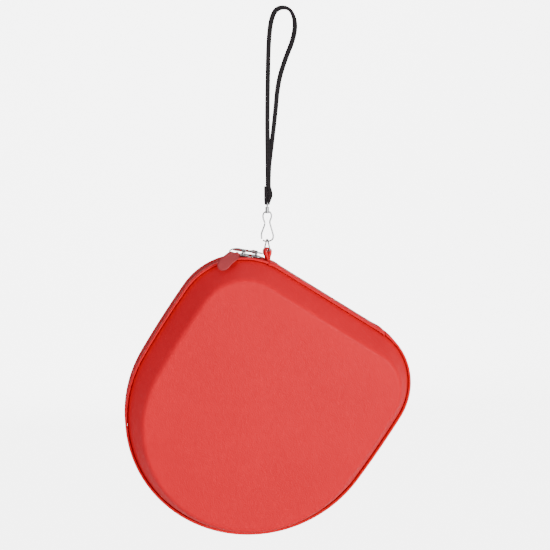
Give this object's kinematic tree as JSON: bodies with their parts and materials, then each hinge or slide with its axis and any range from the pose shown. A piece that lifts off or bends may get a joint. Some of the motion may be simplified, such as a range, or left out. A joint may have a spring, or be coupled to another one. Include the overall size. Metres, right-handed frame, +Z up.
{
  "type": "paddle case",
  "caption": "Moulded hard zip case for a racket-sport paddle, with a wrist strap on a swivel snap hook and two zipper sliders.",
  "frame": {"origin": "inside of the wrist strap's loop, at its top, where a hand holds it", "axes": "+Z up, +X to the right of the case's front, the front faces -Y"},
  "size_m": [0.2294, 0.0561, 0.4207],
  "materials": {
    "red_leather": "fine-grained coated fabric, satin",
    "pull_leather": "dull leather",
    "red_tape": "woven tape",
    "red_coil": "nylon coil",
    "foam": "moulded foam",
    "lining": "knitted lining",
    "net": "open net",
    "elastic": "woven elastic",
    "black_braid": "braided cord",
    "plated_wire": "bright plating",
    "slider_metal": "bright plating"
  },
  "bodies": {
    "strap": {"wrist_cord": "black_braid", "strap_sewn_end": "black_braid", "swivel_eye": "plated_wire"},
    "hook": {"swivel_barrel": "plated_wire", "hook_frame": "plated_wire"},
    "gate": {"hook_gate": "plated_wire"},
    "ring": {"tab_ring": "plated_wire"},
    "back_half": {"back_skin": "red_leather", "back_core": "foam", "back_lining": "lining", "back_piping": "red_leather", "back_zip_tape": "red_tape", "back_zip_coil": "red_coil", "spine_strip": "red_leather", "strap_tab": "red_leather", "paddle_strap": "elastic", "strap_patches": "red_leather"},
    "front_half": {"front_skin": "red_leather", "front_core": "foam", "front_lining": "lining", "front_piping": "red_leather", "front_zip_tape": "red_tape", "front_zip_coil": "red_coil", "net_pocket": "net", "net_binding": "elastic"},
    "front_slider": {"slider_front": "slider_metal"},
    "front_pull_ring": {"pull_ring_front": "plated_wire"},
    "front_tongue": {"pull_tongue_front": "pull_leather"},
    "back_slider": {"slider_back": "slider_metal"},
    "back_pull_ring": {"pull_ring_back": "plated_wire"},
    "back_tongue": {"pull_tongue_back": "pull_leather"}
  },
  "joints": [
    {"name": "hook_swivel", "type": "hinge", "parent": "strap", "child": "hook", "pos_m": [-0.0128, 0, -0.15], "axis": [0, 0, 1], "continuous": true},
    {"name": "gate_spring", "type": "hinge", "parent": "hook", "child": "gate", "pos_m": [-0.0147, 0, -0.16145], "axis": [0, 1, 0], "range_deg": [-18, 0], "stiffness_Nm_per_rad": 0.01, "springref_deg": 17.19},
    {"name": "ring_swing", "type": "hinge", "parent": "hook", "child": "ring", "pos_m": [-0.0128, 0, -0.1758], "axis": [1, 0, 0], "range_deg": [-40, 40]},
    {"name": "case_swing", "type": "hinge", "parent": "ring", "child": "back_half", "pos_m": [-0.0128, 0, -0.1832], "axis": [0, 1, 0], "range_deg": [-35, 35]},
    {"name": "lid_hinge", "type": "hinge", "parent": "back_half", "child": "front_half", "pos_m": [0.04011, 0, -0.21839], "axis": [-0.8348, 0, 0.5505], "range_deg": [0, 100], "deforming": ["spine_strip", "front_zip_tape", "front_zip_coil", "back_zip_coil", "back_zip_tape"]},
    {"name": "front_slide", "type": "hinge", "parent": "front_half", "child": "front_slider", "pos_m": [-0.03364, 0, -0.24068], "axis": [0, -1, 0], "range_deg": [0, 48]},
    {"name": "front_ring_swing", "type": "hinge", "parent": "front_slider", "child": "front_pull_ring", "pos_m": [-0.03123, 0, -0.18313], "axis": [0, 0.9781, 0.2079], "range_deg": [0, 95]},
    {"name": "front_tongue_swing", "type": "hinge", "parent": "front_pull_ring", "child": "front_tongue", "pos_m": [-0.03668, -0.00533, -0.18426], "axis": [-1, 0, 0], "range_deg": [0, 80]},
    {"name": "back_slide", "type": "hinge", "parent": "back_half", "child": "back_slider", "pos_m": [-0.03364, 0, -0.24068], "axis": [0, -1, 0], "range_deg": [0, 1.5]},
    {"name": "back_ring_swing", "type": "hinge", "parent": "back_slider", "child": "back_pull_ring", "pos_m": [-0.02127, 0, -0.18442], "axis": [0.9767, 0, -0.2147], "range_deg": [0, 40]},
    {"name": "back_tongue_swing", "type": "hinge", "parent": "back_pull_ring", "child": "back_tongue", "pos_m": [-0.02168, 0.01073, -0.18627], "axis": [0.9767, 0, -0.2147], "range_deg": [0, 30]}
  ]
}
